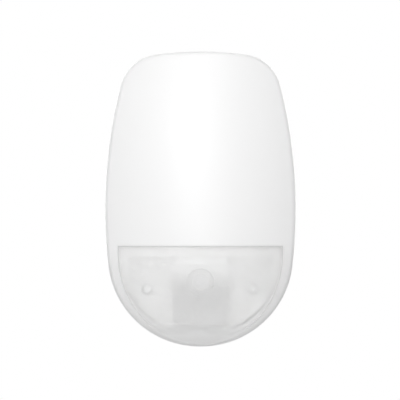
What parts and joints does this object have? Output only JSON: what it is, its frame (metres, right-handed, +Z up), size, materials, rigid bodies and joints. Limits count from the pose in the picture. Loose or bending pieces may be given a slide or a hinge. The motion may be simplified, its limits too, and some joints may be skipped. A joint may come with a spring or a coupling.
{
  "type": "motion sensor",
  "caption": "Wireless wall motion detector with an egg-shaped white case, a curved frosted lens at its foot and a cover that swings open on its top edge.",
  "frame": {"origin": "middle of the flat wall face, at half the case's height", "axes": "+Z up, +Y into the wall, -Y towards the room, +X to the right as seen from the room"},
  "size_m": [0.0662, 0.0485, 0.103],
  "materials": {
    "case_white": "white injection moulded ABS, satin gloss, very fine moulded grain",
    "lens_frosted": "milky white polyethylene, frosted, lets light through, fine prism rings inside",
    "inner_white": "white ABS, matt",
    "lamp": "surface lamp with a pale diffuser",
    "guide_clear": "clear polycarbonate",
    "board_green": "green solder mask on glass laminate",
    "black_plastic": "black moulded plastic, satin",
    "blue_plastic": "blue moulded switch body",
    "plated_steel": "bright tin or zinc plate on steel",
    "spring_brass": "spring brass, thin bright plate",
    "grey_foam": "closed cell foam",
    "dark_window": "polished dark filter plate",
    "cell_wrap": "printed sleeve without any print, dark grey"
  },
  "bodies": {
    "housing": {"antenna_wire": "spring_brass", "battery_cell": "cell_wrap", "battery_contact_negative": "spring_brass", "battery_contact_positive": "spring_brass", "battery_holder": "black_plastic", "board_screw_1": "plated_steel", "board_screw_2": "plated_steel", "board_screw_3": "plated_steel", "board_screw_4": "plated_steel", "capacitor": "plated_steel", "chamber_plate": "inner_white", "controller_chip": "black_plastic", "dip_switch_body": "blue_plastic", "light_guide": "guide_clear", "main_board": "board_green", "pair_switch_body": "black_plastic", "radio_shield": "plated_steel", "rear_housing": "case_white", "sensor_can": "plated_steel", "sensor_gasket": "grey_foam", "sensor_seat": "black_plastic", "sensor_shroud": "inner_white", "sensor_window": "dark_window", "status_lamp": "lamp", "tamper_switch_body": "black_plastic", "wall_tamper_body": "black_plastic"},
    "cover": {"front_cover": "case_white", "fresnel_lens": "lens_frosted", "lens_retainer": "inner_white"},
    "cover_screw": {"cover_screw": "plated_steel"},
    "tamper_plunger": {"tamper_plunger": "inner_white"},
    "wall_tamper_plunger": {"wall_tamper_plunger": "inner_white"},
    "pair_button": {"pair_button": "inner_white"},
    "dip_slider_1": {"dip_slider_1": "inner_white"},
    "dip_slider_2": {"dip_slider_2": "inner_white"},
    "dip_slider_3": {"dip_slider_3": "inner_white"}
  },
  "joints": [
    {"name": "cover_hinge", "type": "hinge", "parent": "housing", "child": "cover", "pos_m": [0, -0.015, 0.0515], "axis": [-1, 0, 0], "range_deg": [0, 30]},
    {"name": "cover_screw_drive", "type": "slide", "parent": "cover", "child": "cover_screw", "axis": [0, 0, 1], "range_m": [0, 0.003]},
    {"name": "tamper_plunger_rise", "type": "slide", "parent": "housing", "child": "tamper_plunger", "axis": [0, -1, 0], "range_m": [0, 0.0015]},
    {"name": "wall_tamper_release", "type": "slide", "parent": "housing", "child": "wall_tamper_plunger", "axis": [0, 1, 0], "range_m": [0, 0.0012]},
    {"name": "pair_button_press", "type": "slide", "parent": "housing", "child": "pair_button", "axis": [0, 1, 0], "range_m": [0, 0.0003], "stiffness_N_per_m": 500, "springref_m": -0.0003},
    {"name": "dip_slider_1_slide", "type": "slide", "parent": "housing", "child": "dip_slider_1", "axis": [0, 0, 1], "range_m": [0, 0.0015]},
    {"name": "dip_slider_2_slide", "type": "slide", "parent": "housing", "child": "dip_slider_2", "axis": [0, 0, 1], "range_m": [0, 0.0015]},
    {"name": "dip_slider_3_slide", "type": "slide", "parent": "housing", "child": "dip_slider_3", "axis": [0, 0, 1], "range_m": [0, 0.0015]}
  ],
  "couplings": [
    {"joint": "tamper_plunger_rise", "follows": "cover_hinge", "m_per_rad": 0.002864}
  ]
}
